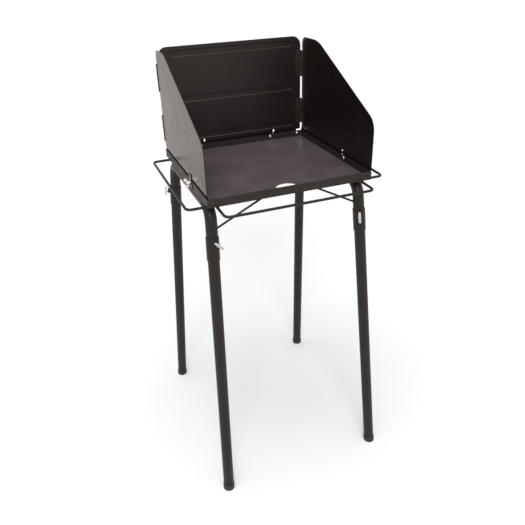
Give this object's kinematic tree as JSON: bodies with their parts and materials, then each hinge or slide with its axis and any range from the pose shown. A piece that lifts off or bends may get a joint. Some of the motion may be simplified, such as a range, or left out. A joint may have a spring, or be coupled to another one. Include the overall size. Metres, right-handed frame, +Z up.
{
  "type": "dutch oven cook table",
  "caption": "Camp cooking table with a sunken steel tray, bent rod rails, splayed socketed legs and a folding three-sided windscreen.",
  "frame": {"origin": "on the floor, under the middle of the tray", "axes": "+X to the right, +Y to the back panel, +Z up"},
  "size_m": [0.551, 0.6116, 1.21],
  "materials": {
    "black_coat": "satin",
    "tray_coat": "semi-gloss",
    "zinc": "bright zinc",
    "foot_plastic": "matt"
  },
  "bodies": {
    "table": {"rim_front": "black_coat", "rim_back": "black_coat", "rim_left": "black_coat", "rim_right": "black_coat", "tray_floor": "tray_coat", "left_leg_frame": "black_coat", "right_leg_frame": "black_coat", "left_rail": "black_coat", "right_rail": "black_coat", "front_rail": "black_coat", "front_left_brace": "black_coat", "front_right_brace": "black_coat", "back_left_brace": "black_coat", "back_right_brace": "black_coat", "screen_tongues": "black_coat", "screen_bolts": "zinc", "bolt_washers": "zinc"},
    "screen": {"back_panel": "black_coat", "left_back_leaves": "black_coat", "left_hinge_pins": "black_coat", "right_back_leaves": "black_coat", "right_hinge_pins": "black_coat"},
    "left_side": {"left_panel": "black_coat", "left_side_leaves": "black_coat"},
    "right_side": {"right_panel": "black_coat", "right_side_leaves": "black_coat"},
    "front_left_leg_body": {"front_left_leg": "black_coat", "front_left_boss": "black_coat", "front_left_foot": "foot_plastic"},
    "front_left_screw": {"front_left_thumb_screw": "zinc"},
    "front_right_leg_body": {"front_right_leg": "black_coat", "front_right_boss": "black_coat", "front_right_foot": "foot_plastic"},
    "front_right_screw": {"front_right_thumb_screw": "zinc"},
    "back_left_leg_body": {"back_left_leg": "black_coat", "back_left_boss": "black_coat", "back_left_foot": "foot_plastic"},
    "back_left_screw": {"back_left_thumb_screw": "zinc"},
    "back_right_leg_body": {"back_right_leg": "black_coat", "back_right_boss": "black_coat", "back_right_foot": "foot_plastic"},
    "back_right_screw": {"back_right_thumb_screw": "zinc"},
    "left_nut": {"left_wing_nut": "zinc"},
    "right_nut": {"right_wing_nut": "zinc"},
    "back_left_nut": {"back_left_wing_nut": "zinc"},
    "back_right_nut": {"back_right_wing_nut": "zinc"}
  },
  "joints": [
    {"name": "screen_lift", "type": "slide", "parent": "table", "child": "screen", "axis": [0, 0, 1], "range_m": [0, 0.06]},
    {"name": "left_fold", "type": "hinge", "parent": "screen", "child": "left_side", "pos_m": [-0.22395, 0.2115, 1.066], "axis": [0, 0, 1], "range_deg": [0, 90]},
    {"name": "right_fold", "type": "hinge", "parent": "screen", "child": "right_side", "pos_m": [0.22055, 0.2115, 1.066], "axis": [0, 0, -1], "range_deg": [0, 90]},
    {"name": "front_left_leg_slide", "type": "slide", "parent": "table", "child": "front_left_leg_body", "axis": [-0.0433, -0.1174, -0.9921], "range_m": [0, 0.05]},
    {"name": "front_left_screw_turn", "type": "hinge", "parent": "front_left_leg_body", "child": "front_left_screw", "pos_m": [-0.20613, -0.20803, 0.79423], "axis": [0.297, -0.9497, 0.0994], "continuous": true},
    {"name": "front_right_leg_slide", "type": "slide", "parent": "table", "child": "front_right_leg_body", "axis": [0.0433, -0.1174, -0.9921], "range_m": [0, 0.05]},
    {"name": "front_right_screw_turn", "type": "hinge", "parent": "front_right_leg_body", "child": "front_right_screw", "pos_m": [0.20322, -0.20689, 0.79397], "axis": [-0.4426, -0.8926, 0.0863], "continuous": true},
    {"name": "back_left_leg_slide", "type": "slide", "parent": "table", "child": "back_left_leg_body", "axis": [-0.0433, 0.1174, -0.9921], "range_m": [0, 0.05]},
    {"name": "back_left_screw_turn", "type": "hinge", "parent": "back_left_leg_body", "child": "back_left_screw", "pos_m": [-0.23081, 0.20783, 0.79386], "axis": [-0.937, 0.3397, 0.0811], "continuous": true},
    {"name": "back_right_leg_slide", "type": "slide", "parent": "table", "child": "back_right_leg_body", "axis": [0.0433, 0.1174, -0.9921], "range_m": [0, 0.05]},
    {"name": "back_right_screw_turn", "type": "hinge", "parent": "back_right_leg_body", "child": "back_right_screw", "pos_m": [0.20449, 0.21945, 0.79409], "axis": [-0.379, 0.9208, 0.0924], "continuous": true},
    {"name": "left_nut_turn", "type": "hinge", "parent": "table", "child": "left_nut", "pos_m": [-0.233, -0.071, 0.916], "axis": [-1, 0, 0], "continuous": true},
    {"name": "right_nut_turn", "type": "hinge", "parent": "table", "child": "right_nut", "pos_m": [0.233, -0.071, 0.916], "axis": [1, 0, 0], "continuous": true},
    {"name": "back_left_nut_turn", "type": "hinge", "parent": "table", "child": "back_left_nut", "pos_m": [-0.1146, 0.2255, 0.916], "axis": [0, 1, 0], "continuous": true},
    {"name": "back_right_nut_turn", "type": "hinge", "parent": "table", "child": "back_right_nut", "pos_m": [0.1146, 0.2255, 0.916], "axis": [0, 1, 0], "continuous": true}
  ]
}
